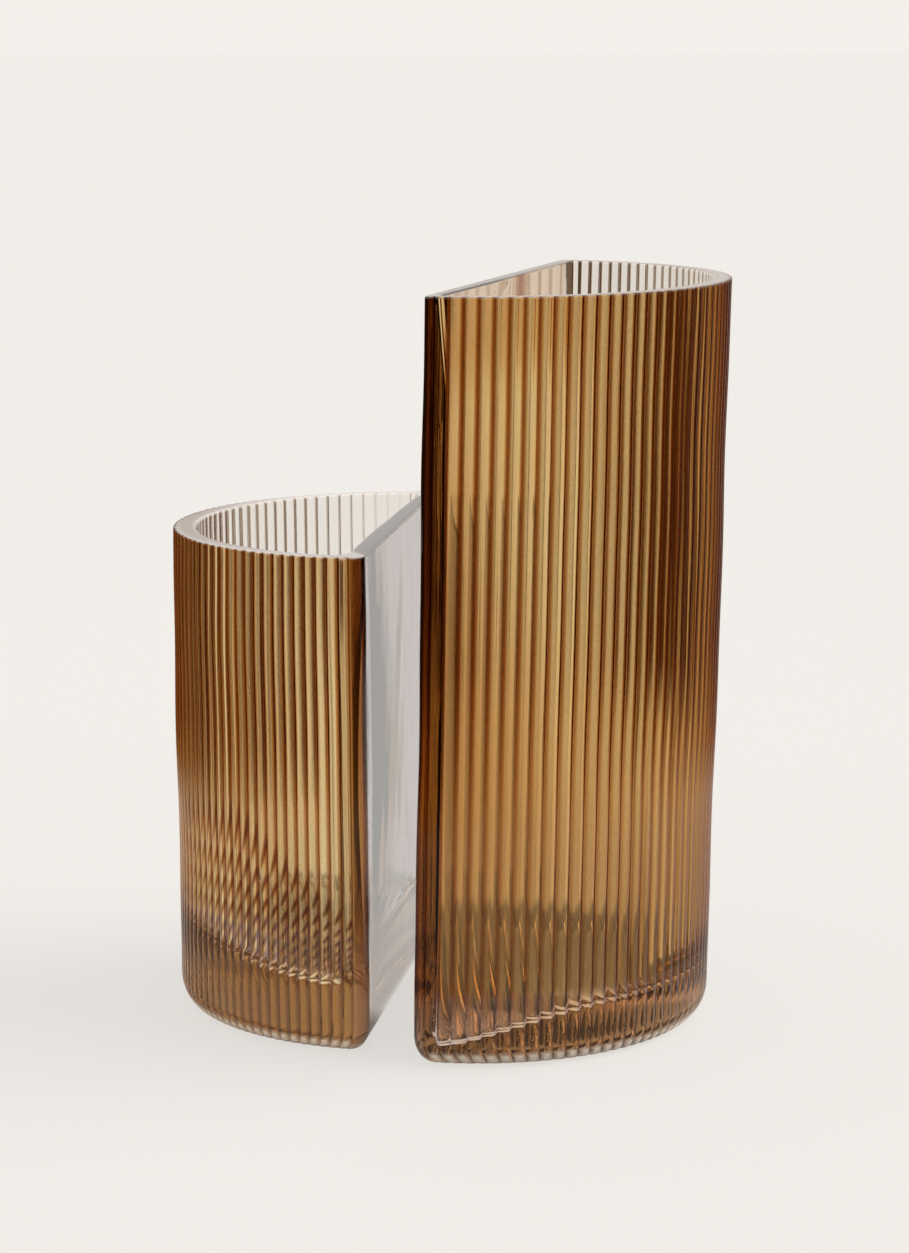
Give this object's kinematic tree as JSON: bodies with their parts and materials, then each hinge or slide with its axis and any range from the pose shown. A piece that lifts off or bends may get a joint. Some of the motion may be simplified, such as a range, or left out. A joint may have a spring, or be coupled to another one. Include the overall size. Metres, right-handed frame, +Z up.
{
  "type": "art glass vase pair",
  "caption": "Half-round ribbed glass vases, one tall and one short, that stand with their smooth flat sides face to face and hold stems or stand empty.",
  "frame": {"origin": "on the ground, under the middle of the pair's box", "axes": "+Z up; +X from the short vase towards the tall one, across the gap between their flat sides; -Y is the side seen from in front"},
  "size_m": [0.23, 0.199, 0.3],
  "materials": {
    "tall_glass": "amber-brown clear glass, fire-polished ribs, cut and polished rim",
    "short_glass": "amber-brown clear glass, fire-polished ribs, cut and polished rim"
  },
  "bodies": {
    "tall": {"tall_vase": "tall_glass"},
    "short": {"short_vase": "short_glass"}
  },
  "joints": [
    {"name": "short_vase_slide", "type": "slide", "parent": "tall", "child": "short", "axis": [-1, 0, 0], "range_m": [-0.02, 0.12]}
  ]
}
